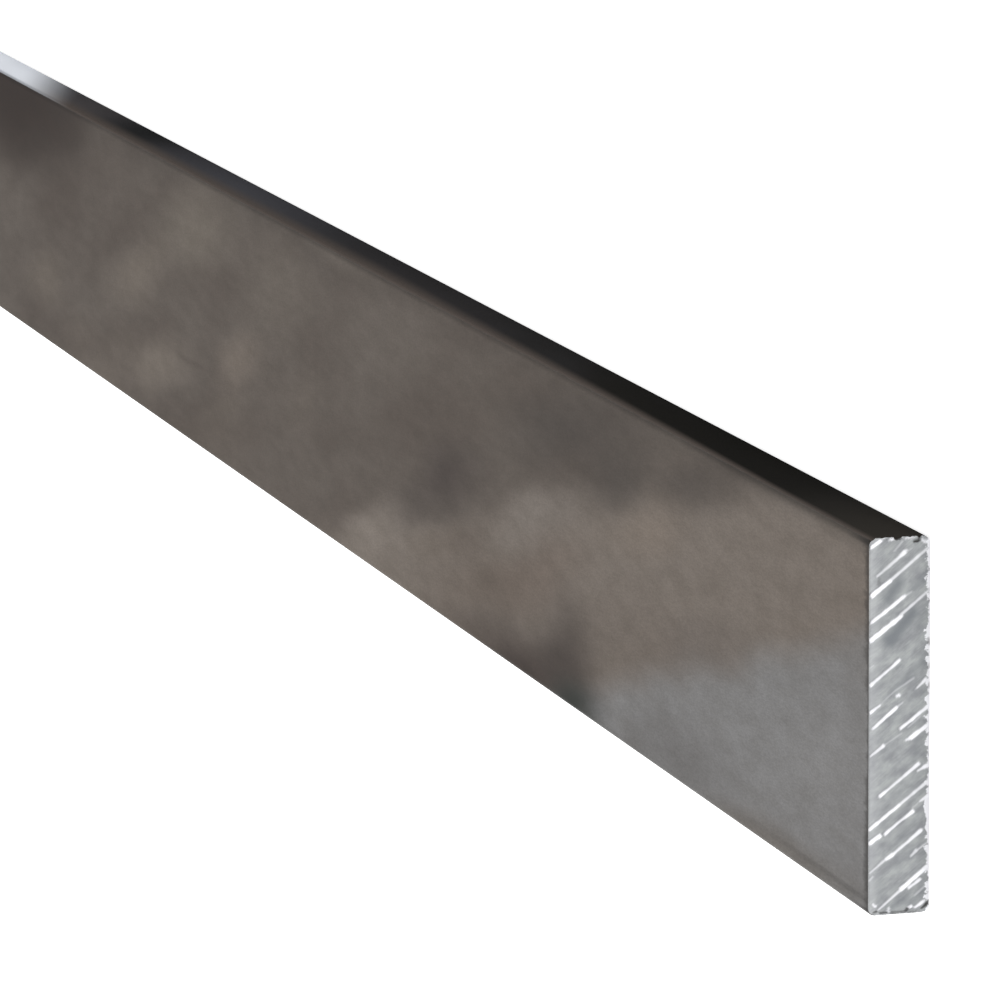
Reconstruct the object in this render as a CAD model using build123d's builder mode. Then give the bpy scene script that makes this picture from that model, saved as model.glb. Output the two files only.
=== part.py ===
from build123d import *
import os

# A length of hot-rolled steel flat bar, sawn from stock at both ends.
# X runs along the bar, Y across its width and Z through its thickness.
# The bar lies on one broad face, and the origin is the middle of that face.

# Driving dimensions, in mm
bar_length = 914.4  # the 36 in stock length
bar_width = 38.1  # 1 1/2 in, from narrow edge to narrow edge
bar_thickness = 6.35  # 1/4 in, from broad face to broad face
edge_radius = 0.8  # what the rolls leave along the four long edges

# The rolled section stands on the Y axis, so that the lower broad face is at Z = 0
section_plane = Plane.YZ.offset(-bar_length / 2)
section_centre = (0, bar_thickness / 2)

# One solid: the section, run straight from sawn end to sawn end
with BuildPart() as flat_bar:
    with BuildSketch(section_plane) as rolled_section:
        with Locations(section_centre):
            Rectangle(bar_width, bar_thickness)
        fillet(rolled_section.vertices(), radius=edge_radius)
    extrude(amount=bar_length)

os.makedirs("parts", exist_ok=True)
flat_bar.part.label = "flat_bar"
export_step(flat_bar.part, "parts/flat_bar.step")
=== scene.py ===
"""The looks of a length of plain steel flat bar: a dark rolled skin and two bright sawn ends.

Lengths are in metres, and MM turns the sizes that are written in millimetres into them.
X runs along the bar, Y across its width and Z through its thickness. The bar lies on the floor.
"""

import logging
import math
import random
from dataclasses import dataclass
from dataclasses import field
from enum import Enum

import bmesh
import bpy
from mathutils import Matrix
from mathutils import Vector
from mathutils import noise


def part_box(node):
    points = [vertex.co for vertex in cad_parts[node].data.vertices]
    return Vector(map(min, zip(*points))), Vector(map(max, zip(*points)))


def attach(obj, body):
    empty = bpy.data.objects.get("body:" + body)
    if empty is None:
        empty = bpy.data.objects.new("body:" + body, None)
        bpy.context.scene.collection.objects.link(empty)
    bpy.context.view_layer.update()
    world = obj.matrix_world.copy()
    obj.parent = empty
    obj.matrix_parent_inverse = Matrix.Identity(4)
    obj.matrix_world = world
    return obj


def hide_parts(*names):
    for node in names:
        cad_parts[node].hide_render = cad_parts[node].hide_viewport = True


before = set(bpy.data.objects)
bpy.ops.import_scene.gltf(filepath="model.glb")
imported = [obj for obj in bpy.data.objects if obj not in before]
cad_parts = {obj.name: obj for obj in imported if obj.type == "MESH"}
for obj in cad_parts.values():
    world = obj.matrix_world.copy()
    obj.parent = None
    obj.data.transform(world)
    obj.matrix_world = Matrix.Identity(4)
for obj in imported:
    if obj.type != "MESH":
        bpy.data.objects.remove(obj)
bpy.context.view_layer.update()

MM = 0.001
NODE = "flat_bar"
BODY = "root"

LOG = logging.getLogger("flat_bar")

Material = bpy.types.Material
Node = bpy.types.Node
Socket = bpy.types.NodeSocket
Triple = tuple[float, float, float]

# Settings that many nodes share.
COLOUR = {"data_type": "RGBA"}
DARKEN = {"data_type": "RGBA", "blend_type": "MULTIPLY", 0: 1.0}
SOFT = {"interpolation_type": "SMOOTHSTEP"}
ABSOLUTE = {"operation": "ABSOLUTE"}
ADD = {"operation": "ADD"}
DIVIDE = {"operation": "DIVIDE"}
MAXIMUM = {"operation": "MAXIMUM"}
MULTIPLY = {"operation": "MULTIPLY"}
MULTIPLY_ADD = {"operation": "MULTIPLY_ADD"}
SUBTRACT = {"operation": "SUBTRACT"}


def linear(hex_colour: str) -> tuple[float, float, float, float]:
    """Turns an sRGB colour into the linear one that a shader takes.

    Args:
        hex_colour: six hex digits, such as "8b8f93".

    Returns:
        Red, green, blue and an alpha of 1.
    """
    channels = [int(hex_colour[place : place + 2], 16) / 255 for place in (0, 2, 4)]
    bright = [((c + 0.055) / 1.055) ** 2.4 if c > 0.04045 else c / 12.92 for c in channels]
    return (*bright, 1.0)


def smooth_step(value: float, start: float, end: float) -> float:
    """Eases from 0 at start to 1 at end.

    Args:
        value: the number to ease.
        start: where the result is 0.
        end: where the result is 1. It may be below start.

    Returns:
        A number from 0 to 1.
    """
    share = min(max((value - start) / (end - start), 0.0), 1.0)
    return share * share * (3 - 2 * share)


@dataclass
class Surface:
    """A material or world being built up, and its colour so far.

    On the bar, size is its length, width and thickness, spot is the place of a point, and along, across
    and up are that place's parts, all in mm.
    """

    owner: Material
    size: Vector | None = None
    spot: Node | None = None
    along: Socket | None = None
    across: Socket | None = None
    up: Socket | None = None
    tint: Node | None = None

    @classmethod
    def named(cls, name: str, size: Vector | None = None) -> "Surface":
        """Starts a material with an empty node tree, and reads the place in mm where it is the bar's.

        Args:
            name: the finish's plain name.
            size: the bar's size in mm, if the material is the bar's.

        Returns:
            The surface.
        """
        material = bpy.data.materials.new(name)
        material.use_nodes = True
        material.node_tree.nodes.clear()
        surface = cls(material, size)
        if size is not None:
            raw = surface.add("TexCoord", {}, {}).outputs["Object"]
            surface.spot = surface.add("VectorMath", {"operation": "SCALE", "Scale": 1 / MM}, {0: raw})
            axes = surface.add("SeparateXYZ", {}, {0: surface.spot})
            surface.along, surface.across, surface.up = axes.outputs
        return surface

    def add(self, kind: str, settings: dict, links: dict) -> Node:
        """Adds one shader node with its settings and links.

        Args:
            kind: the node's type without its ShaderNode prefix.
            settings: node attributes, values for input sockets where the key names or counts a socket,
                or a colour ramp's two stops as position to colour.
            links: input socket, by name or number, to what feeds it, a socket or a node's main output.

        Returns:
            The new node.
        """
        tree = self.owner.node_tree
        node = tree.nodes.new(f"ShaderNode{kind}")
        for key, value in settings.items():
            if key == "stops":
                for element, (position, colour) in zip(node.color_ramp.elements, value.items()):
                    element.position = position
                    element.color = linear(colour)
            elif isinstance(key, int) or key in node.inputs:
                node.inputs[key].default_value = value
            else:
                setattr(node, key, value)
        for key, source in links.items():
            if isinstance(source, Node):
                source = next(output for output in source.outputs if output.enabled)
            tree.links.new(source, node.inputs[key])
        return node

    def lay_noise(
        self,
        spot: Node,
        grain: Triple,
        detail: float,
        roughness: float = 0.6,
        turn: Triple = (0.0, 0.0, 0.0),
    ) -> Node:
        """Lays noise whose grain has a real size.

        Args:
            spot: the place in mm.
            grain: the grain's size along its own three axes, in mm.
            detail: the noise's detail.
            roughness: how strong the finer detail is.
            turn: the grain's turn about each axis.

        Returns:
            The noise.
        """
        fit = {"vector_type": "TEXTURE", "Rotation": turn, "Scale": grain}
        fitted = self.add("Mapping", fit, {"Vector": spot})
        look = {"Scale": 1.0, "Detail": detail, "Roughness": roughness}
        return self.add("TexNoise", look, {"Vector": fitted})

    def finish(self, look: dict, links: dict) -> Material:
        """Gives the colour its shader and the material its output.

        Args:
            look: the shader's settings.
            links: what feeds the shader besides the colour.

        Returns:
            The material.
        """
        shader = self.add("BsdfPrincipled", look, {"Base Color": self.tint, **links})
        self.add("OutputMaterial", {}, {"Surface": shader})
        return self.owner


@dataclass(frozen=True)
class Patch:
    """One soft-edged patch of colour: an ellipse by its centre, reaches, turn, colour and strength.

    level and depth are its centre's height and its reach through the bar's thickness, in mm.
    """

    along: float
    across: float
    length: float
    width: float
    turn: float
    colour: str
    strength: float
    level: float = 3.2
    depth: float = 60.0

    def lay(self, surface: Surface, spot: Node) -> None:
        """Lays the patch over a surface's colour.

        Args:
            surface: the surface.
            spot: the place in mm.
        """
        fit = {
            "vector_type": "TEXTURE",
            "Location": (self.along, self.across, self.level),
            "Rotation": (0.0, 0.0, math.radians(self.turn)),
            "Scale": (self.length, self.width, self.depth),
        }
        fitted = surface.add("Mapping", fit, {"Vector": spot})
        ball = surface.add("TexGradient", {"gradient_type": "SPHERICAL"}, {"Vector": fitted})
        fade = {**SOFT, "To Max": self.strength}
        amount = surface.add("MapRange", fade, {"Value": ball.outputs["Fac"]})
        tone = {**COLOUR, 7: linear(self.colour)}
        surface.tint = surface.add("Mix", tone, {0: amount, 6: surface.tint})


# The soft patches that show on the upper broad face, each in the order of Patch's fields: painted
# reflections, with painted shade in the dark far corner and along the +Y corner, and some of the
# skin's own tone.
SKIN_TONE_AND_PAINTED_LIGHT = (
    (40.0, 20.5, 78.0, 20.0, 0.0, "24150b", 0.95),
    (38.0, 21.0, 82.0, 20.5, 0.0, "24150b", 0.95),
    (45.0, 20.0, 72.0, 19.0, 0.0, "24150b", 0.9),
    (215.0, 20.0, 240.0, 7.0, 0.0, "2a2420", 0.36),
    (84.0, 5.0, 38.0, 10.0, 8.0, "4a4039", 0.6),
    (66.0, -9.5, 22.0, 6.0, 10.0, "6b6259", 0.8),
    (106.0, 13.0, 18.0, 6.0, 8.0, "4a4039", 0.3),
    (104.0, -18.0, 24.0, 4.0, 4.0, "6e655d", 0.7),
    (92.0, -14.0, 20.0, 6.0, 8.0, "645b53", 0.6),
    (129.0, 0.5, 34.0, 6.5, 15.0, "6f665d", 0.9),
    (118.0, -13.0, 30.0, 7.0, 12.0, "645b53", 0.7),
    (142.0, -11.5, 26.0, 6.0, 12.0, "736a61", 0.9),
    (162.0, -7.4, 20.0, 0.8, 1.0, "534a43", 0.6),
    (165.0, 11.5, 40.0, 9.0, 8.0, "6c645b", 0.95),
    (190.0, -3.0, 20.0, 6.0, 14.0, "71675e", 0.9),
    (184.0, -10.5, 22.0, 4.0, 10.0, "6c635a", 0.5),
    (214.0, 10.0, 30.0, 10.0, 8.0, "665e56", 0.85),
    (225.0, -3.0, 18.0, 7.0, 10.0, "625951", 0.6),
    (180.0, -15.5, 34.0, 6.0, 8.0, "5d544c", 0.7),
    (270.0, 12.0, 52.0, 10.0, 6.0, "625a53", 0.9),
    (250.0, 18.6, 30.0, 2.6, 0.0, "6a625a", 0.5),
)

# The same over the two bands near the end: painted reflections, light and dark, with some of the
# skin's own tone.
BAND_TONE_AND_PAINTED_LIGHT = (
    (298.0, -1.5, 28.0, 7.5, 14.0, "423935", 0.9),
    (284.0, -7.6, 26.0, 4.4, 12.0, "514943", 0.75),
    (247.0, -15.0, 17.0, 6.5, 20.0, "5c534c", 0.85),
    (312.0, -12.0, 40.0, 7.5, 12.0, "645950", 0.7),
    (326.0, -9.5, 24.0, 4.5, 12.0, "5c5148", 0.65),
    (352.0, 13.0, 44.0, 7.5, 9.0, "453e39", 0.85),
    (371.0, 10.6, 20.0, 5.5, 14.0, "3f3935", 0.55),
    (400.0, 14.6, 22.0, 4.8, 12.0, "48413c", 0.65),
    (264.0, -13.8, 24.0, 5.5, 14.0, "7e756d", 0.95),
    (294.0, -10.5, 18.0, 3.6, 14.0, "70665c", 0.5),
    (338.0, 0.4, 30.0, 5.8, 14.0, "79716a", 0.9),
    (381.0, 7.0, 22.0, 5.0, 14.0, "7b7066", 0.8),
    (342.0, -5.0, 30.0, 6.0, 14.0, "6c6057", 0.7),
    (332.0, -18.0, 42.0, 8.4, 6.0, "372c27", 0.95),
    (350.0, -13.0, 20.0, 9.5, 12.0, "352c28", 0.85),
    (355.0, -18.5, 17.0, 5.5, 6.0, "242823", 0.95),
    (425.0, -18.5, 50.0, 3.2, 3.0, "625a51", 0.6),
    (392.0, -16.5, 34.0, 7.0, 6.0, "686665", 0.75),
    (403.0, -2.0, 24.0, 4.5, 14.0, "675f59", 0.6),
    (305.0, -8.0, 22.0, 4.0, 12.0, "5c524a", 0.65),
    (308.0, -18.0, 44.0, 3.6, 5.0, "554b44", 0.55),
    (375.0, -7.5, 48.0, 8.0, 8.0, "5f554d", 0.35),
    (372.0, -19.2, 14.0, 2.4, 6.0, "4a4440", 0.35),
    (326.0, -19.0, 24.0, 3.6, 5.0, "3a302a", 0.5),
    (444.0, -6.0, 24.0, 8.0, 14.0, "8a8989", 0.35),
    (456.0, 6.5, 12.0, 5.0, 14.0, "6b6661", 0.35),
    (457.0, -15.5, 9.0, 3.0, 5.0, "6b6866", 0.4),
)


@dataclass(frozen=True)
class CornerLine:
    """One dark line beside the bar's long corners: how far in it lies and its half width, in mm.

    Its strength is away over most of the bar and at_end near the ends. It changes between start and
    full, in mm from the bar's middle. low_share is how strong it is on the -Y side beside the +Y one.
    """

    inset: float
    spread: float
    away: float
    at_end: float
    start: float
    full: float
    low_share: float


# Painted shade: the black that wraps round the corners, its softer border near the ends and a faint
# dark line beside it. The last row is a short dark line near each cut.
CORNER_LINES = (
    CornerLine(0.0, 0.8, 0.25, 0.25, 0.0, 1.0, 0.3),
    CornerLine(0.0, 1.7, 0.0, 0.42, 380.0, 430.0, 0.0),
    CornerLine(1.6, 0.5, 0.0, 0.12, 405.0, 450.0, 2.0),
    CornerLine(0.5, 0.4, 0.0, 0.6, 450.0, 455.5, 0.8),
)


@dataclass(frozen=True)
class Band:
    """One band of colour on the upper broad face, below a slanting border.

    along and across are a point of the border and softness is its half width, in mm.
    """

    colour: str
    along: float
    across: float
    slope: float
    softness: float


@dataclass(frozen=True)
class RolledSkin:
    """Plain low-carbon steel as it leaves the rolls: a thin, smooth, dark oxide.

    It gives the eye a satin warm grey with soft clouds in it. The upper broad face carries soft patches
    of painted reflection and painted shade, a tan band of painted reflection and a paler, neutral band
    of painted sheen towards the near end. Painted shade, black, wraps round the bar's long corners. The
    grains are sizes along, across and through the bar, in mm.
    """

    name: str = "rolled_steel_skin"
    smoky: str = "544b44"
    cloud: str = "5f5750"
    # Painted shade that wraps round the long corners.
    black: str = "14110f"
    cut_line: str = "1f1b18"
    # Painted reflection: the tan band, and the paler, neutral band of painted sheen towards the near
    # end.
    tan_band: Band = Band("746b63", 351.0, 4.0, 0.195, 3.4)
    sheen_band: Band = Band("7d7c7c", 407.0, -3.4, 0.262, 3.0)
    drift_grain: Triple = (30.0, 10.0, 10.0)
    drift_reach: Triple = (16.0, 3.4, 0.0)
    cloud_grain: Triple = (34.0, 9.0, 9.0)
    cloud_turn: Triple = (0.0, 0.0, math.radians(12))
    mottle_grain: float = 1.9
    fine_grain: float = 0.16
    stretch: float = 3.6
    cut_line_grain: Triple = (8.0, 3.2, 3.2)
    streak_grain: Triple = (40.0, 0.5, 0.5)

    def make(self, size: Vector) -> Material:
        """Builds the material.

        Args:
            size: the bar's length, width and thickness, in mm.

        Returns:
            The material.
        """
        skin = Surface.named(self.name, size)
        bent = self.bend(skin)
        self.clouds(skin, bent)
        base = skin.tint
        # The upper broad face alone takes the painted reflections and shade below; the others keep the
        # plain clouds.
        self.lay_upper_face_light_and_tone(skin, bent)
        rise = {"From Min": size.z * 0.4, "From Max": size.z * 0.6}
        on_top = skin.add("MapRange", rise, {"Value": skin.up})
        skin.tint = skin.add("Mix", COLOUR, {0: on_top, 6: base, 7: skin.tint})
        self.mottle(skin)
        self.wrap_painted_shade(skin)
        self.darken_beside_cuts(skin)
        streaks = skin.lay_noise(skin.spot, self.streak_grain, 3.0)
        relief = skin.add("Bump", {"Strength": 0.25, "Distance": 0.02 * MM}, {"Height": streaks})
        look = {"Metallic": 0.0, "Roughness": 0.42, "Specular IOR Level": 0.2}
        return skin.finish(look, {"Normal": relief})

    def bend(self, skin: Surface) -> Node:
        """Bends the place with soft noise, so that no patch keeps a clean outline.

        Args:
            skin: the surface.

        Returns:
            The bent place in mm.
        """
        drift = skin.lay_noise(skin.spot, self.drift_grain, 1.0, 0.4).outputs["Color"]
        centred = skin.add("VectorMath", {**SUBTRACT, 1: (0.5, 0.5, 0.5)}, {0: drift})
        pushed = skin.add("VectorMath", {**MULTIPLY, 1: self.drift_reach}, {0: centred})
        return skin.add("VectorMath", ADD, {0: skin.spot, 1: pushed})

    def clouds(self, skin: Surface, bent: Node) -> None:
        """Soft clouds, long along the bar and slightly slanted.

        Args:
            skin: the surface.
            bent: the bent place in mm.
        """
        cloud = skin.lay_noise(bent, self.cloud_grain, 1.0, 0.4, self.cloud_turn)
        skin.tint = skin.add("ValToRGB", {"stops": {0.32: self.smoky, 0.7: self.cloud}}, {"Fac": cloud})

    def lay_upper_face_light_and_tone(self, skin: Surface, bent: Node) -> None:
        """Lays the two bands and the patches on the upper broad face: painted reflection and painted
        shade, with some of the skin's own tone.

        Args:
            skin: the surface.
            bent: the bent place in mm.
        """
        for row in SKIN_TONE_AND_PAINTED_LIGHT:
            Patch(*row).lay(skin, bent)
        along, across, _ = skin.add("SeparateXYZ", {}, {0: bent}).outputs
        for band in (self.tan_band, self.sheen_band):
            line = {**MULTIPLY_ADD, 1: band.slope, 2: band.across - band.slope * band.along}
            border = skin.add("Math", line, {0: along})
            below = skin.add("Math", SUBTRACT, {0: border, 1: across})
            edge = {**SOFT, "From Min": -band.softness, "From Max": band.softness}
            share = skin.add("MapRange", edge, {"Value": below})
            skin.tint = skin.add("Mix", {**COLOUR, 7: linear(band.colour)}, {0: share, 6: skin.tint})
        for row in BAND_TONE_AND_PAINTED_LIGHT:
            Patch(*row).lay(skin, bent)

    def mottle(self, skin: Surface) -> None:
        """Breaks the colour up with a faint mottle and a fine grain.

        Args:
            skin: the surface.
        """
        for size, detail, dark in ((self.mottle_grain, 3.0, "ecebe9"), (self.fine_grain, 2.0, "e4e4e4")):
            speck = skin.lay_noise(skin.spot, (size * self.stretch, size, size), detail)
            shade = skin.add("ValToRGB", {"stops": {0.32: dark, 0.68: "ffffff"}}, {"Fac": speck})
            skin.tint = skin.add("Mix", DARKEN, {6: skin.tint, 7: shade})

    def wrap_painted_shade(self, skin: Surface) -> None:
        """Carries the narrow edges' painted shade round the long corners, with a faint painted dark line
        beside it and a short dark line near each cut.

        Args:
            skin: the surface.
        """
        off_middle = skin.add("Math", ABSOLUTE, {0: skin.across})
        inset = skin.add("Math", {**SUBTRACT, 0: skin.size.y / 2}, {1: off_middle})
        outwards = skin.add("Math", ABSOLUTE, {0: skin.along})
        for line in CORNER_LINES:
            offset = skin.add("Math", {**SUBTRACT, 1: line.inset}, {0: inset})
            distance = skin.add("Math", ABSOLUTE, {0: offset})
            edge = {**SOFT, "From Min": line.spread, "From Max": line.spread * 0.2}
            near = skin.add("MapRange", edge, {"Value": distance})
            span = {"From Min": line.start, "From Max": line.full}
            growth = {**span, "To Min": line.away, "To Max": line.at_end}
            hold = skin.add("MapRange", growth, {"Value": outwards})
            sides = {"From Min": -10.0, "From Max": 10.0, "To Min": line.low_share}
            side = skin.add("MapRange", sides, {"Value": skin.across})
            part = skin.add("Math", MULTIPLY, {0: near, 1: hold})
            amount = skin.add("Math", MULTIPLY, {0: part, 1: side})
            skin.tint = skin.add("Mix", {**COLOUR, 7: linear(self.black)}, {0: amount, 6: skin.tint})

    def darken_beside_cuts(self, skin: Surface) -> None:
        """Darkens the skin in a soft ragged line beside each cut.

        It is widest towards the long corners, and a little paler right at the cut.

        Args:
            skin: the surface.
        """
        outwards = skin.add("Math", ABSOLUTE, {0: skin.along})
        to_end = skin.add("Math", {**SUBTRACT, 0: skin.size.x / 2}, {1: outwards})
        ragged = skin.lay_noise(skin.spot, self.cut_line_grain, 5.0, 0.75)
        widths = {"From Min": 0.42, "From Max": 0.66, "To Min": 1.2, "To Max": 3.4}
        width = skin.add("MapRange", widths, {"Value": ragged})
        off_middle = skin.add("Math", ABSOLUTE, {0: skin.across})
        growth = {"From Min": 2.0, "From Max": 12.0, "To Min": 0.55, "To Max": 1.1}
        spread = skin.add("MapRange", growth, {"Value": off_middle})
        reach = skin.add("Math", MULTIPLY, {0: width, 1: spread})
        share = skin.add("Math", DIVIDE, {0: to_end, 1: reach})
        fade = {**SOFT, "From Min": 1.0, "From Max": 0.0, "To Max": 0.8}
        cut_line = skin.add("MapRange", fade, {"Value": share})
        eased_at_cut = skin.add("MapRange", {"From Max": 0.4, "To Min": 0.45}, {"Value": to_end})
        amount = skin.add("Math", MULTIPLY, {0: cut_line, 1: eased_at_cut})
        skin.tint = skin.add("Mix", {**COLOUR, 7: linear(self.cut_line)}, {0: amount, 6: skin.tint})


@dataclass(frozen=True)
class PaleStretch:
    """A pale, metallic stretch of one narrow edge: its middle, reach and fade, in mm.

    amount is how pale and metallic it is, and side is 1 for the +Y edge and -1 for the -Y one.
    """

    along: float
    reach: float
    fade: float
    amount: float
    side: int


@dataclass(frozen=True)
class EdgeScaleWithPaintedShade:
    """The scale on the two narrow edges, painted much darker than the broad faces: painted shade.

    It gives the eye a matt near black, softly bluish in places and browner towards the upper corners,
    all painted shade and reflection, with one stretch of the +Y edge painted pale as a glare and a few
    fainter pale, metallic stretches elsewhere as worn places.
    """

    name: str = "edge_scale_painted_shade"
    black: str = "2b2a28"
    smoky: str = "454447"
    brown: str = "605853"
    glare_and_bare: str = "cdd1d8"
    # Painted reflection and shade along the narrow edges: lighter and darker patches.
    patches: tuple[Patch, ...] = (
        Patch(78.0, 19.0, 36.0, 70.0, 0.0, "545152", 0.9),
        Patch(180.0, 19.0, 74.0, 70.0, 0.0, "525257", 0.85),
        Patch(118.0, 19.0, 26.0, 70.0, 0.0, "282929", 0.75),
        Patch(280.0, 19.0, 60.0, 70.0, 0.0, "3c3a3b", 0.6),
        Patch(400.0, 19.0, 60.0, 70.0, 0.0, "252422", 0.8),
        Patch(458.0, 19.0, 34.0, 70.0, 0.0, "403d39", 0.9),
    )
    # The first stretch is a painted glare; the others are worn places.
    glare_and_rubs: tuple[PaleStretch, ...] = (
        PaleStretch(-2.0, 26.0, 42.0, 1.0, 1),
        PaleStretch(-48.0, 10.0, 60.0, 0.55, 1),
        PaleStretch(-135.0, 6.0, 50.0, 0.3, 1),
        PaleStretch(-330.0, 14.0, 70.0, 0.4, 1),
        PaleStretch(96.0, 16.0, 70.0, 0.5, -1),
        PaleStretch(-30.0, 8.0, 60.0, 0.3, -1),
        PaleStretch(-265.0, 20.0, 80.0, 0.45, -1),
    )
    rub_slide: float = 3.0
    cloud_grain: Triple = (30.0, 9.0, 6.0)

    def make(self, size: Vector) -> Material:
        """Builds the material.

        Args:
            size: the bar's length, width and thickness, in mm.

        Returns:
            The material.
        """
        scale = Surface.named(self.name, size)
        outwards = scale.add("Math", ABSOLUTE, {0: scale.along})
        self.tone(scale, outwards)
        self.soften_painted_shade(scale, outwards)
        glare_and_wear = self.pale_stretch(scale)
        return scale.finish({"Roughness": 0.55, "Specular IOR Level": 0.0}, {"Metallic": glare_and_wear})

    def tone(self, scale: Surface, outwards: Node) -> None:
        """Painted shade and reflection on the scale: black near the ends, smokier towards the middle,
        with soft clouds.

        Args:
            scale: the surface.
            outwards: distance from the bar's middle, in mm.
        """
        cloud = scale.lay_noise(scale.spot, self.cloud_grain, 2.0, 0.5)
        growth = {"From Min": 400.0, "From Max": 180.0, "To Max": 0.75}
        level = scale.add("MapRange", growth, {"Value": outwards})
        sway = {"From Min": 0.3, "From Max": 0.7, "To Min": -0.12, "To Max": 0.12}
        shift = scale.add("MapRange", sway, {"Value": cloud})
        amount = scale.add("Math", {**ADD, "use_clamp": True}, {0: level, 1: shift})
        tones = {**COLOUR, 6: linear(self.black), 7: linear(self.smoky)}
        scale.tint = scale.add("Mix", tones, {0: amount})
        for patch in self.patches:
            patch.lay(scale, scale.spot)

    def soften_painted_shade(self, scale: Surface, outwards: Node) -> None:
        """Lets the painted shade fade to brown towards the upper corners, over a wider strip away from
        the ends.

        Args:
            scale: the surface.
            outwards: distance from the bar's middle, in mm.
        """
        above = scale.add("Math", {**SUBTRACT, 1: scale.size.z / 2}, {0: scale.up})
        starts = {"From Min": 262.0, "From Max": 425.0, "To Min": 0.0, "To Max": 2.3}
        start = scale.add("MapRange", starts, {"Value": outwards})
        fade = {**SOFT, "From Max": 3.15}
        share = scale.add("MapRange", fade, {"Value": above, "From Min": start})
        scale.tint = scale.add("Mix", {**COLOUR, 7: linear(self.brown)}, {0: share, 6: scale.tint})

    def pale_stretch(self, scale: Surface) -> Node:
        """Paints pale metal along some stretches of the narrow edges: one painted glare and a few
        worn places.

        Args:
            scale: the surface.

        Returns:
            How pale and metallic each place is.
        """
        glare_and_bare = None
        lean = {**MULTIPLY_ADD, 1: -self.rub_slide}
        slid = scale.add("Math", lean, {0: scale.up, 2: scale.along})
        for pale_stretch in self.glare_and_rubs:
            offset = scale.add("Math", {**SUBTRACT, 1: pale_stretch.along}, {0: slid})
            away = scale.add("Math", ABSOLUTE, {0: offset})
            span = {"From Min": pale_stretch.reach + pale_stretch.fade, "From Max": pale_stretch.reach}
            near = scale.add("MapRange", {**SOFT, **span, "To Max": pale_stretch.amount}, {"Value": away})
            here = scale.add("MapRange", {"From Max": float(pale_stretch.side)}, {"Value": scale.across})
            part = scale.add("Math", MULTIPLY, {0: near, 1: here})
            glare_and_bare = part if glare_and_bare is None else scale.add("Math", MAXIMUM, {0: glare_and_bare, 1: part})
        scale.tint = scale.add("Mix", {**COLOUR, 7: linear(self.glare_and_bare)}, {0: glare_and_bare, 6: scale.tint})
        return glare_and_bare


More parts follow.
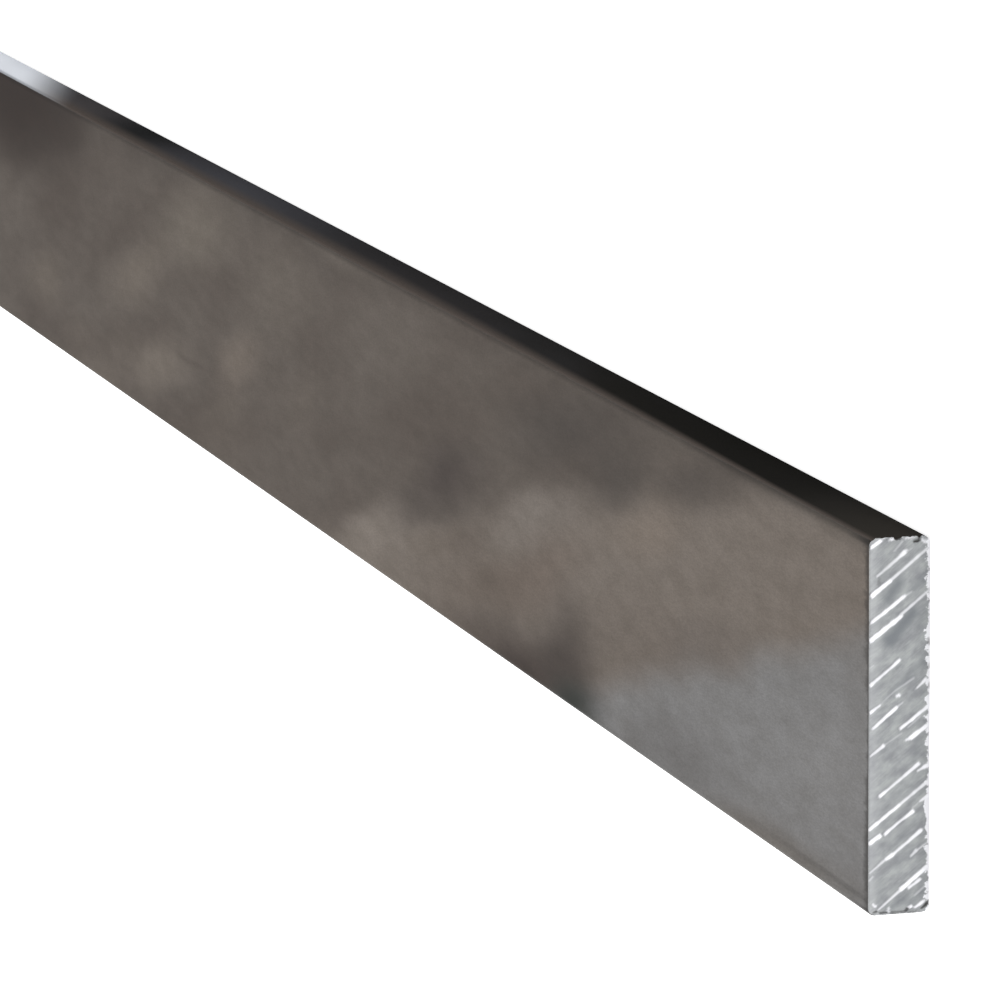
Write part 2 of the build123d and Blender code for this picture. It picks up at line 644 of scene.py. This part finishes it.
@dataclass(frozen=True)
class SawnSteel:
    """Bare steel straight off a coarse saw.

    It gives the eye a matt blue-grey with clouds and fine scoring that run with the cut, painted
    highlights where teeth dragged or left a burr, partly the cut metal's own brightness, and darker
    nicks round the rim. The mesh carries the marks' relief and says where they are, in the
    burnish_and_highlight and nick attributes.
    """

    slant: float
    name: str = "bare_sawn_steel"
    dull: str = "8e9093"
    clean: str = "a7aaaa"
    shadow: str = "74787c"
    burnished_highlight: str = "e6e6ea"
    rim_dark_colour: str = "2b2826"
    cloud_grain: Triple = (1.0, 1.0, 1.9)
    score_grain: Triple = (1.0, 0.14, 1.8)
    relief_grain: Triple = (1.0, 0.12, 1.6)

    @property
    def turn(self) -> Triple:
        """The turn about each axis that lays a grain along the saw marks."""
        return self.slant, 0.0, 0.0

    def make(self, size: Vector) -> Material:
        """Builds the material.

        Args:
            size: the bar's length, width and thickness, in mm.

        Returns:
            The material.
        """
        sawn = Surface.named(self.name, size)
        self.tone(sawn)
        shine, rim_darkening = self.rims(sawn)
        # Painted highlights, partly the cut metal's own brightness; then the darker nicks and rims.
        for colour, amount in ((self.burnished_highlight, shine), (self.rim_dark_colour, rim_darkening)):
            sawn.tint = sawn.add("Mix", {**COLOUR, 7: linear(colour)}, {0: amount, 6: sawn.tint})
        roughness = sawn.add("MapRange", {"To Min": 0.42, "To Max": 0.3}, {"Value": shine})
        metal = sawn.add("MapRange", {"To Min": 1.0, "To Max": 0.3}, {"Value": rim_darkening})
        score = sawn.lay_noise(sawn.spot, self.relief_grain, 2.0, turn=self.turn)
        relief = sawn.add("Bump", {"Strength": 0.15, "Distance": 0.03 * MM}, {"Height": score})
        return sawn.finish({}, {"Metallic": metal, "Roughness": roughness, "Normal": relief})

    def tone(self, sawn: Surface) -> None:
        """The cut's tone: blue-grey clouds that run with the marks and fine light scoring, darker where
        the shade attribute says, which on the near end is painted shade.

        Args:
            sawn: the surface.
        """
        cloud = sawn.lay_noise(sawn.spot, self.cloud_grain, 3.0, turn=self.turn)
        tint = sawn.add("ValToRGB", {"stops": {0.34: self.dull, 0.66: self.clean}}, {"Fac": cloud})
        score = sawn.lay_noise(sawn.spot, self.score_grain, 2.0, turn=self.turn)
        lines = sawn.add("ValToRGB", {"stops": {0.3: "f1f1f1", 0.7: "ffffff"}}, {"Fac": score})
        tint = sawn.add("Mix", DARKEN, {6: tint, 7: lines})
        shade = sawn.add("Attribute", {"attribute_name": "shade"}, {}).outputs["Fac"]
        sawn.tint = sawn.add("Mix", {**COLOUR, 7: linear(self.shadow)}, {0: shade, 6: tint})

    def rims(self, sawn: Surface) -> tuple[Node, Node]:
        """Brightness and darkening: the marks' painted highlights, a painted highlight along the upper
        rim, a ragged burr whose brightness is partly painted highlight, and chipped short rims.

        Args:
            sawn: the surface.

        Returns:
            How bright and how dark the metal is, each from 0 to 1.
        """
        waves = {"Scale": 1.5, "Detail": 3.0, "Roughness": 0.65}
        ragged = sawn.add("TexNoise", waves, {"Vector": sawn.spot})
        wobble = sawn.add("MapRange", {"To Min": -1.0, "To Max": 1.0}, {"Value": ragged})
        low = sawn.add("Math", ADD, {0: sawn.up, 1: wobble})
        off_middle = sawn.add("Math", ABSOLUTE, {0: sawn.across})
        near_tip = sawn.add("Math", {**SUBTRACT, 0: sawn.size.y / 2}, {1: off_middle})
        top = sawn.size.z
        # The lip is a painted highlight, and the burr's and chips' brightness is partly painted
        # highlight.
        # For each rim: what measures it, where it starts and where it is full in mm, and its strength.
        lip_highlight, broken, burr, tip = (
            sawn.add(
                "MapRange",
                {**SOFT, "From Min": start, "From Max": full, "To Max": most},
                {"Value": measured},
            )
            for measured, start, full, most in (
                (sawn.up, top - 1.7, top - 0.2, 0.13),
                (sawn.up, top - 0.26, top, 0.15),
                (low, 0.42, 0.22, 0.9),
                (near_tip, 0.34, 0.1, 0.5),
            )
        )
        shine = sawn.add("Attribute", {"attribute_name": "burnish_and_highlight"}, {}).outputs["Fac"]
        nicked = sawn.add("Attribute", {"attribute_name": "nick"}, {}).outputs["Fac"]
        for rim in (lip_highlight, burr):
            shine = sawn.add("Math", MAXIMUM, {0: shine, 1: rim})
        rim_darkening = sawn.add("Math", MAXIMUM, {0: nicked, 1: broken})
        specks = {"Scale": 2.2, "Detail": 2.0, "Roughness": 0.6}
        speck = sawn.add("TexNoise", specks, {"Vector": sawn.spot})
        # Chips along the short rims, some bright and some dark: where the noise starts and fills one.
        chipped = []
        for under, start, full in ((shine, 0.52, 0.6), (rim_darkening, 0.47, 0.38)):
            pick = {**SOFT, "From Min": start, "From Max": full, "To Max": 0.9}
            picked = sawn.add("MapRange", pick, {"Value": speck})
            chip = sawn.add("Math", MULTIPLY, {0: picked, 1: tip})
            chipped.append(sawn.add("Math", MAXIMUM, {0: under, 1: chip}))
        return tuple(chipped)


@dataclass(frozen=True)
class Stroke:
    """One tapering stroke on an end, in mm.

    left and right are its ends' distances from the upper broad face, and their drops are how far they
    are from the +Y edge. Its width goes from one end's to the other's, and weight is how strong it is.
    """

    left: float
    left_drop: float
    right: float
    right_drop: float
    left_width: float
    right_width: float
    weight: float

    def strength(self, side: float, drop: float, rough: float, soft: float = 0.1) -> float:
        """How strongly the stroke shows at a place. It is fainter where it is thin.

        Args:
            side: distance from the upper broad face, in mm.
            drop: distance from the +Y edge, in mm.
            rough: how much wider the stroke is here than it should be, as a share.
            soft: how far its edge fades outwards, in mm.

        Returns:
            A factor from 0 to 1.
        """
        run = self.right - self.left
        fall = self.right_drop - self.left_drop
        share = ((side - self.left) * run + (drop - self.left_drop) * fall) / (run * run + fall * fall)
        share = min(max(share, 0.0), 1.0)
        width = (self.left_width + (self.right_width - self.left_width) * share) * (1 + rough)
        away = math.hypot(side - self.left - run * share, drop - self.left_drop - fall * share)
        full = 0.78 + 0.22 * smooth_step(width, 0.18, 0.4)
        return self.weight * full * smooth_step(away, width / 2 + soft, width / 2 - soft * 0.5)


# The drag marks and chips that show on the near end, from the top down, each in the order of
# Stroke's fields. Their brightness is painted highlight, partly the cut metal's own.
NEAR_MARKS = (
    (0.25, 0.9, 1.2, 0.25, 0.34, 0.3, 1.0),
    (2.2, 0.18, 2.5, 0.16, 0.24, 0.24, 1.0),
    (3.85, 0.14, 4.6, 0.12, 0.2, 0.16, 0.75),
    (5.45, 0.4, 5.95, 0.66, 0.26, 0.32, 0.75),
    (2.55, 1.45, 3.45, 0.45, 0.1, 0.14, 0.35),
    (0.85, 3.8, 2.9, 2.2, 0.22, 0.28, 0.65),
    (2.9, 2.2, 3.7, 1.5, 0.26, 0.42, 0.85),
    (3.9, 1.55, 4.45, 1.2, 0.12, 0.1, 0.3),
    (0.3, 5.72, 2.15, 4.38, 0.48, 0.34, 1.0),
    (2.15, 4.34, 6.3, 1.1, 0.26, 0.24, 0.75),
    (0.3, 8.38, 3.6, 6.02, 0.32, 0.34, 1.0),
    (3.75, 5.95, 4.45, 5.55, 0.12, 0.08, 0.4),
    (0.25, 10.15, 3.3, 8.0, 0.52, 0.38, 1.0),
    (3.3, 7.8, 6.3, 5.45, 0.24, 0.2, 0.75),
    (0.1, 12.95, 0.45, 12.75, 0.18, 0.14, 0.35),
    (0.2, 14.7, 1.6, 13.6, 0.36, 0.2, 0.9),
    (1.6, 13.6, 3.1, 12.42, 0.22, 0.3, 1.0),
    (1.25, 16.65, 2.6, 15.5, 0.06, 0.08, 0.25),
    (2.6, 15.5, 4.6, 14.28, 0.08, 0.16, 0.35),
    (4.95, 15.3, 5.95, 14.4, 0.12, 0.36, 0.9),
    (2.95, 15.9, 3.22, 15.87, 0.28, 0.24, 0.95),
    (0.2, 17.4, 1.2, 16.75, 0.34, 0.14, 1.0),
    (0.4, 19.1, 2.8, 17.15, 0.24, 0.34, 1.0),
    (2.8, 17.15, 3.6, 16.6, 0.2, 0.06, 0.5),
    (3.35, 19.2, 6.3, 17.05, 0.28, 0.34, 1.0),
    (4.05, 19.2, 5.25, 18.25, 0.1, 0.08, 0.35),
    (3.8, 20.45, 4.4, 20.25, 0.14, 0.34, 0.95),
    (4.4, 20.2, 6.3, 18.95, 0.44, 0.34, 1.0),
    (1.55, 20.85, 3.4, 19.75, 0.1, 0.08, 0.3),
    (0.15, 21.85, 1.45, 20.9, 0.2, 0.34, 0.85),
    (1.2, 25.9, 2.1, 25.25, 0.36, 0.22, 1.0),
    (2.1, 25.25, 5.2, 22.9, 0.2, 0.34, 0.9),
    (5.15, 23.6, 6.3, 23.05, 0.16, 0.44, 1.0),
    (0.1, 29.25, 3.2, 26.95, 0.34, 0.28, 1.0),
    (3.2, 26.95, 6.1, 24.8, 0.22, 0.3, 0.85),
    (5.3, 26.75, 6.3, 26.15, 0.14, 0.48, 1.0),
    (4.65, 27.25, 5.15, 26.95, 0.1, 0.1, 0.35),
    (1.75, 29.78, 3.2, 28.65, 0.3, 0.2, 1.0),
    (3.2, 28.65, 4.6, 27.72, 0.22, 0.34, 1.0),
    (0.1, 30.68, 1.15, 30.0, 0.36, 0.44, 1.0),
    (0.1, 33.68, 1.8, 32.35, 0.16, 0.24, 0.7),
    (1.8, 32.35, 2.55, 31.9, 0.38, 0.36, 1.0),
    (2.55, 31.9, 5.45, 29.7, 0.2, 0.34, 0.95),
    (4.5, 32.15, 5.0, 31.7, 0.2, 0.32, 0.7),
    (5.0, 31.7, 6.2, 30.9, 0.14, 0.12, 0.6),
    (0.1, 34.45, 0.5, 34.0, 0.26, 0.16, 0.5),
    (1.05, 37.45, 3.4, 35.55, 0.16, 0.26, 0.8),
    (3.4, 35.5, 6.3, 33.25, 0.4, 0.38, 1.0),
    (4.2, 35.45, 5.4, 34.65, 0.24, 0.26, 1.0),
    (4.9, 36.2, 6.1, 35.2, 0.14, 0.16, 0.35),
    (4.9, 37.45, 5.8, 36.85, 0.26, 0.26, 1.0),
    (4.28, 37.42, 4.5, 37.32, 0.28, 0.26, 1.0),
    (0.5, 36.9, 0.75, 37.05, 0.26, 0.24, 0.95),
    (2.05, 37.8, 2.15, 37.3, 0.24, 0.18, 0.8),
)

# The dark nicks and darker places that show round the near end's rim.
NEAR_NICKS = (
    (2.75, 0.05, 3.2, 0.08, 0.3, 0.26, 1.0),
    (4.78, 0.46, 5.05, 0.42, 0.3, 0.36, 1.0),
    (5.05, 0.4, 5.2, 0.05, 0.26, 0.2, 1.0),
    (1.05, 3.9, 1.0, 4.6, 0.2, 0.3, 0.3),
    (6.2, 10.35, 6.25, 10.8, 0.2, 0.3, 0.5),
    (6.25, 12.95, 6.25, 13.2, 0.2, 0.2, 0.45),
    (6.3, 14.9, 6.3, 15.2, 0.24, 0.24, 0.5),
    (0.5, 37.82, 0.75, 37.74, 0.2, 0.26, 0.7),
    (1.25, 37.9, 1.9, 37.9, 0.2, 0.2, 0.75),
    (2.4, 37.92, 3.9, 37.92, 0.2, 0.2, 0.6),
    (3.98, 37.8, 4.06, 37.55, 0.26, 0.2, 0.9),
    (4.2, 38.0, 5.2, 37.98, 0.14, 0.14, 0.5),
    (5.55, 37.7, 6.22, 37.05, 0.14, 0.3, 1.0),
)

# The like on the end that the photograph doesn't show, a guess.
FAR_NICKS = (
    (1.3, 0.06, 1.75, 0.08, 0.26, 0.3, 1.0),
    (4.1, 0.1, 4.55, 0.3, 0.22, 0.28, 0.9),
    (6.2, 8.6, 6.28, 9.1, 0.2, 0.28, 0.6),
    (6.25, 23.4, 6.28, 23.9, 0.22, 0.26, 0.6),
    (2.1, 37.9, 2.9, 37.95, 0.2, 0.22, 0.8),
    (5.2, 37.85, 5.9, 37.4, 0.16, 0.3, 0.9),
)

# Painted shade: where the near end is darker and a little bluer, as broad soft strokes.
NEAR_SHADES = (
    (1.95, 6.1, 3.1, 4.6, 0.6, 0.6, 0.8),
    (2.2, 10.3, 4.6, 7.6, 1.0, 0.7, 0.9),
    (4.3, 5.4, 6.1, 4.1, 0.2, 0.3, 0.6),
    (5.1, 8.9, 5.9, 7.6, 0.2, 0.3, 0.4),
    (2.7, 15.2, 5.6, 12.7, 0.1, 0.2, 0.6),
    (0.9, 3.9, 1.3, 3.3, 0.1, 0.1, 0.5),
    (4.6, 22.3, 5.4, 20.9, 0.3, 0.3, 0.3),
    (2.9, 26.1, 5.2, 24.3, 0.1, 0.1, 0.3),
    (2.6, 31.0, 4.8, 28.9, 0.2, 0.2, 0.4),
    (2.9, 33.0, 4.6, 31.8, 0.1, 0.1, 0.4),
    (0.9, 34.6, 1.2, 36.6, 0.5, 0.5, 0.25),
    (2.4, 37.4, 4.1, 36.2, 0.3, 0.3, 0.6),
    (4.6, 36.9, 6.0, 35.7, 0.1, 0.1, 0.7),
)


@dataclass
class SawnEnd:
    """One sawn end: its fine mesh and the relief of the saw marks on it."""

    sign: int
    size: Vector
    slant: float
    marks: list[Stroke]
    nicks: list[Stroke]
    shades: list[Stroke]
    block_depth: float = 1.0
    line_step: float = 0.08
    cross_step: float = 0.24
    snap: float = 0.002
    relief_depth: float = 0.15
    nibble_depth: float = 0.16
    low_rim: float = 0.3
    low_rim_break: float = 0.1
    shade_fade: float = 0.85
    ring_depths: tuple[float, ...] = (0.08, 0.22, 0.45)
    apart: float = 31.7
    roughness: float = 0.35
    plain_lift: float = 0.45
    drift_lift: float = 0.22
    score_lift: float = 0.05
    mark_lift: float = 0.30
    nick_drop: float = 0.5

    def wander(self, along: float, across: float, layer: int) -> float:
        """Smooth chance from -1 to 1 at a place. Each layer has its own, and so has each end."""
        return noise.noise(Vector((along, across, layer)) + Vector((self.sign * self.apart, 0, 0)))

    def cut_mesh(self, bar: bmesh.types.BMesh) -> None:
        """Cuts the end finely enough for its relief, along and across the saw marks.

        Args:
            bar: the bar's mesh.
        """
        tip = self.size.x / 2
        for depth in (self.block_depth, *self.ring_depths):
            bmesh.ops.bisect_plane(
                bar,
                geom=[*bar.verts, *bar.edges, *bar.faces],
                plane_co=(self.sign * (tip - depth) * MM, 0, 0),
                plane_no=(1, 0, 0),
            )
        inner = (tip - self.block_depth) * MM
        faces = [face for face in bar.faces if self.sign * face.calc_center_median().x > inner]
        edges = dict.fromkeys(edge for face in faces for edge in face.edges)
        verts = dict.fromkeys(vert for face in faces for vert in face.verts)
        geom = [*verts, *edges, *faces]
        along = Vector((0, math.sin(self.slant), -math.cos(self.slant)))
        across = Vector((0, math.cos(self.slant), math.sin(self.slant)))
        middle = Vector((0, 0, self.size.z / 2 * MM))
        for direction, step in ((across, self.line_step), (along, self.cross_step)):
            reach = self.size.y / 2 * abs(direction.y) + self.size.z / 2 * abs(direction.z)
            count = int(reach / step)
            for place in range(-count, count + 1):
                cut = bmesh.ops.bisect_plane(
                    bar,
                    geom=geom,
                    dist=self.snap * MM,
                    plane_co=middle + direction * (place * step * MM),
                    plane_no=direction,
                )
                geom = cut["geom"]
        bmesh.ops.remove_doubles(bar, verts=bar.verts, dist=self.snap * MM)

    def shape(self, bar: bmesh.types.BMesh) -> None:
        """Presses the saw's relief into the end and stores what the finish needs.

        Args:
            bar: the bar's mesh.
        """
        burnish_and_highlight = bar.verts.layers.float["burnish_and_highlight"]
        nick = bar.verts.layers.float["nick"]
        shade = bar.verts.layers.float["shade"]
        for vert in bar.verts:
            behind = self.size.x / 2 - self.sign * vert.co.x / MM
            if behind > self.block_depth + 0.01:
                continue
            side = self.size.z - vert.co.z / MM
            drop = self.size.y / 2 - vert.co.y / MM
            along = side * math.cos(self.slant) - drop * math.sin(self.slant)
            across = side * math.sin(self.slant) + drop * math.cos(self.slant)
            rough = self.roughness * self.wander(along * 1.6, across * 1.6, 9)
            bright = max(mark.strength(side, drop, rough) for mark in self.marks)
            dark = max(mark.strength(side, drop, rough) for mark in self.nicks)
            # The marks' painted highlight, partly the cut metal's own brightness.
            vert[burnish_and_highlight] = bright * (1 - dark)
            vert[nick] = dark
            vert[shade] = max(area.strength(side, drop, rough, self.shade_fade) for area in self.shades)
            if behind < self.ring_depths[-1]:
                drift = self.wander(along * 0.2, across * 0.35, 0)
                scoring = self.wander(along * 0.25, across * 2.6, 4)
                lift = self.plain_lift + self.drift_lift * drift + self.score_lift * scoring
                lift += self.mark_lift * bright
                lift -= self.nick_drop * dark
                press = self.relief_depth * (1 - min(max(lift, 0.0), 1.0))
                vert.co.x -= self.sign * press * (1 - behind / self.ring_depths[-1]) * MM
            self.nibble(vert, side, drop, behind, dark)

    def nibble(
        self, vert: bmesh.types.BMVert, side: float, drop: float, behind: float, dark: float
    ) -> None:
        """Chips the rim a little, so that its outline is as ragged as a saw leaves it.

        Args:
            vert: the vertex to move.
            side: distance from the upper broad face, in mm.
            drop: distance from the +Y edge, in mm.
            behind: distance behind the end, in mm.
            dark: how nicked the place is.
        """
        ragged = self.wander(side * 2.1, drop * 2.1, 17)
        fade = smooth_step(behind, 0.5, 0.0)
        depth = self.nibble_depth * (max(0.0, ragged + 0.1) + 1.2 * dark) * fade
        vert.co.y -= depth * smooth_step(drop, 0.9, 0.1) * MM
        low_depth = depth * self.low_rim + self.low_rim_break * fade
        vert.co.y += low_depth * smooth_step(self.size.y - drop, 0.9, 0.1) * MM


class Finish(Enum):
    """The bar's finishes, by the material slot that holds each."""

    SKIN = 0
    SCALE = 1
    SAWN = 2


@dataclass(frozen=True)
class BakeStrip:
    """The part of the piece's own UV map that one side of the bar fills, as low and high V."""

    low: float
    high: float
    margin: float = 0.004

    def place(self, share_along: float, share_across: float) -> tuple[float, float]:
        """Places a point that lies these shares of the way along and across the side."""
        span = 1 - 2 * self.margin
        return self.margin + span * share_along, self.low + (self.high - self.low) * share_across


@dataclass
class FlatBar:
    """The bar: one rolled length with rounded long edges, sawn off at both ends."""

    low: Vector
    high: Vector
    corner_radius: float = 0.8
    corner_segments: int = 6
    support: float = 0.04
    spans: int = 18
    far_mark_count: int = 30
    far_shade_count: int = 8
    slant: float = math.radians(37.5)
    upper_strip: BakeStrip = BakeStrip(0.004, 0.264)
    lower_strip: BakeStrip = BakeStrip(0.272, 0.492)
    plus_strip: BakeStrip = BakeStrip(0.500, 0.570)
    minus_strip: BakeStrip = BakeStrip(0.578, 0.638)
    near_strip: BakeStrip = BakeStrip(0.646, 0.816)
    far_strip: BakeStrip = BakeStrip(0.824, 0.996)

    @property
    def size(self) -> Vector:
        """Length, width and thickness, in mm."""
        return (self.high - self.low) / MM

    def blank(self) -> bmesh.types.BMesh:
        """Makes the plain rolled length: a block with its four long edges rounded.

        Returns:
            The mesh, in metres.
        """
        bar = bmesh.new()
        bmesh.ops.create_cube(bar, size=1.0)
        bmesh.ops.scale(bar, vec=self.high - self.low, verts=bar.verts)
        bmesh.ops.translate(bar, vec=(self.high + self.low) / 2, verts=bar.verts)
        long_edges = [edge for edge in bar.edges if abs(edge.verts[0].co.x - edge.verts[1].co.x) > MM]
        bmesh.ops.bevel(
            bar,
            geom=long_edges,
            offset=self.corner_radius * MM,
            segments=self.corner_segments,
            profile=0.5,
            affect="EDGES",
            material=-1,
        )
        for face in bar.faces:
            if abs(face.normal.x) > 0.5:
                face.material_index = Finish.SAWN.value
            elif abs(face.normal.z) < math.sqrt(0.5):
                face.material_index = Finish.SCALE.value
        return bar

    def brace(self, bar: bmesh.types.BMesh) -> None:
        """Cuts the long faces beside each rounded edge and along the bar, so that they shade flat.

        Args:
            bar: the bar's mesh.
        """
        _, width, thickness = self.size
        inset = self.corner_radius + self.support
        planes = [((0, side * (width / 2 - inset), 0), (0, 1, 0)) for side in (-1, 1)]
        planes += [((0, 0, level), (0, 0, 1)) for level in (inset, thickness - inset)]
        step = self.size.x / self.spans
        planes += [((self.low.x / MM + span * step, 0, 0), (1, 0, 0)) for span in range(1, self.spans)]
        for place, normal in planes:
            bmesh.ops.bisect_plane(
                bar,
                geom=[*bar.verts, *bar.edges, *bar.faces],
                plane_co=Vector(place) * MM,
                plane_no=normal,
            )

    def far_strokes(self, count: int, seed: int, slope: float, broad: float = 1.0) -> list[tuple]:
        """Draws strokes for the end that the photograph doesn't show, like those of the near one.

        Args:
            count: how many.
            seed: the chance's seed.
            slope: how much a stroke rises for each mm that it runs.
            broad: how many times wider they are than the near end's marks.

        Returns:
            The strokes' rows.
        """
        chance = random.Random(seed)
        rows = []
        for place in range(count):
            drop = 1.0 + (self.size.y + 3.0) * (place + chance.uniform(0.1, 0.9)) / count
            left = chance.choice((0.15, 0.15, chance.uniform(0.6, 4.2)))
            right = min(left + chance.uniform(0.8, 6.0), self.size.z - 0.1)
            rise = slope * chance.uniform(0.9, 1.08)
            widths = (broad * chance.uniform(0.2, 0.48), broad * chance.uniform(0.12, 0.38))
            weight = chance.choice((1.0, 1.0, 0.8, 0.4))
            rows.append((left, drop - rise * left, right, drop - rise * right, *widths, weight))
        return rows

    def lay_out(self, bar: bmesh.types.BMesh) -> None:
        """Gives the piece its own UV map, which squeezes its length and keeps the sawn ends large.

        Args:
            bar: the bar's mesh.
        """
        layer = bar.loops.layers.uv.new("OFBake")
        length, width, thickness = self.high - self.low
        for face in bar.faces:
            normal = face.normal
            for loop in face.loops:
                along = (loop.vert.co.x - self.low.x) / length
                across = (loop.vert.co.y - self.low.y) / width
                through = (loop.vert.co.z - self.low.z) / thickness
                if face.material_index == Finish.SAWN.value:
                    strip = self.near_strip if normal.x > 0 else self.far_strip
                    loop[layer].uv = strip.place(across, through)
                elif face.material_index == Finish.SKIN.value:
                    strip = self.upper_strip if normal.z > 0 else self.lower_strip
                    loop[layer].uv = strip.place(along, across)
                else:
                    strip = self.plus_strip if normal.y > 0 else self.minus_strip
                    loop[layer].uv = strip.place(along, through)

    def build(self) -> bpy.types.Object:
        """Builds and dresses the bar.

        Returns:
            The finished piece.
        """
        bar = self.blank()
        self.brace(bar)
        for layer in ("burnish_and_highlight", "nick", "shade"):
            bar.verts.layers.float.new(layer)
        slope = math.tan(self.slant)
        far_marks = self.far_strokes(self.far_mark_count, 11, slope)
        far_shades = self.far_strokes(self.far_shade_count, 23, slope, 2.2)
        for sign, *tables in (
            (1, NEAR_MARKS, NEAR_NICKS, NEAR_SHADES),
            (-1, far_marks, FAR_NICKS, far_shades),
        ):
            strokes = ([Stroke(*row) for row in table] for table in tables)
            cut = SawnEnd(sign, self.size, self.slant, *strokes)
            cut.cut_mesh(bar)
            cut.shape(bar)
        for face in bar.faces:
            face.smooth = True
        for edge in bar.edges:
            sawn_sides = [face.material_index == Finish.SAWN.value for face in edge.link_faces]
            edge.smooth = all(sawn_sides) or not any(sawn_sides)
        self.lay_out(bar)
        mesh = bpy.data.meshes.new("steel_flat_bar")
        bar.to_mesh(mesh)
        bar.free()
        piece = bpy.data.objects.new("steel_flat_bar", mesh)
        bpy.context.scene.collection.objects.link(piece)
        for finish in (RolledSkin(), EdgeScaleWithPaintedShade(), SawnSteel(self.slant)):
            mesh.materials.append(finish.make(self.size))
        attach(piece, BODY)
        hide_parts(NODE)
        return piece


@dataclass
class Studio:
    """A plain pale floor, soft light and the camera."""

    floor_reach: float = 20.0
    floor_lift: float = 0.85
    mirror_lift: float = 0.6
    eye: Vector = field(default_factory=lambda: Vector((1085.47, 141.01, 219.13)) * MM)
    aim: Vector = field(default_factory=lambda: Vector((299.75, -4.16, 0.0)) * MM)
    roll: float = math.radians(0.373)
    lens: float = 247.4
    sensor: float = 36.0
    world_grey: float = 0.3
    lamp_power: float = 21.0

    def lay_floor(self) -> bpy.types.Object:
        """Makes the floor, which shows white and still takes the bar's shadow.

        Returns:
            The floor.
        """
        flat = bmesh.new()
        bmesh.ops.create_grid(flat, x_segments=1, y_segments=1, size=self.floor_reach)
        mesh = bpy.data.meshes.new("studio_floor")
        flat.to_mesh(mesh)
        flat.free()
        floor = bpy.data.objects.new("studio_floor", mesh)
        bpy.context.scene.collection.objects.link(floor)
        paper = Surface.named("matt_white_paper")
        matt = paper.add("BsdfDiffuse", {"Color": (0.8, 0.8, 0.8, 1.0)}, {})
        path = paper.add("LightPath", {}, {}).outputs
        bounced = {0: path["Is Glossy Ray"], 1: path["Is Transmission Ray"]}
        mirrored = paper.add("Math", ADD, bounced)
        part = paper.add("Math", {**MULTIPLY, 1: self.mirror_lift}, {0: mirrored})
        seen = {0: path["Is Camera Ray"], 2: part}
        lift = paper.add("Math", {**MULTIPLY_ADD, 1: self.floor_lift}, seen)
        glow = paper.add("Emission", {}, {"Strength": lift})
        both = paper.add("AddShader", {}, {0: matt, 1: glow})
        paper.add("OutputMaterial", {}, {"Surface": both})
        mesh.materials.append(paper.owner)
        return floor

    def light(self) -> None:
        """Lights the bar from above with one broad soft lamp, and fills from all round."""
        world = bpy.data.worlds.new("soft_room")
        world.use_nodes = True
        world.node_tree.nodes.clear()
        room = Surface(world)
        grey = self.world_grey
        glow = room.add("Background", {"Color": (grey, grey, grey, 1.0), "Strength": 1.0}, {})
        room.add("OutputWorld", {}, {"Surface": glow})
        bpy.context.scene.world = world
        place = Vector((0.25, -0.35, 1.3))
        target = Vector((0.25, 0.0, 0.0))
        lamp = bpy.data.lights.new("overhead_softbox", "AREA")
        lamp.size = 1.2
        lamp.energy = self.lamp_power
        hung = bpy.data.objects.new("overhead_softbox", lamp)
        hung.location = place
        hung.rotation_euler = (target - place).to_track_quat("-Z", "Y").to_euler()
        bpy.context.scene.collection.objects.link(hung)

    def set_camera(self) -> None:
        """Sets the camera at the photograph's angle, rolled so that the bar's width is upright."""
        lens = bpy.data.cameras.new("camera")
        lens.lens = self.lens
        lens.sensor_width = self.sensor
        lens.clip_start = 0.01
        lens.clip_end = 200.0
        ahead = (self.aim - self.eye).normalized()
        right = ahead.cross(Vector((0, 1, 0))).normalized()
        up = right.cross(ahead)
        axes = Matrix((right, up, -ahead)).transposed()
        turned = Matrix.Rotation(self.roll, 3, ahead) @ axes
        camera = bpy.data.objects.new("camera", lens)
        camera.matrix_world = Matrix.Translation(self.eye) @ turned.to_4x4()
        bpy.context.scene.collection.objects.link(camera)
        bpy.context.scene.camera = camera


def main() -> None:
    """Builds the bar and its studio."""
    logging.basicConfig(level=logging.INFO, format="%(name)s: %(message)s")
    bpy.context.scene.view_settings.view_transform = "Standard"
    low, high = (Vector(corner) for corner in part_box(NODE))
    bar = FlatBar(low, high)
    piece = bar.build()
    LOG.info("%s: %d faces", piece.name, len(piece.data.polygons))
    studio = Studio()
    floor = studio.lay_floor()
    LOG.info("%s laid", floor.name)
    studio.light()
    studio.set_camera()


if __name__ == "__main__":
    main()
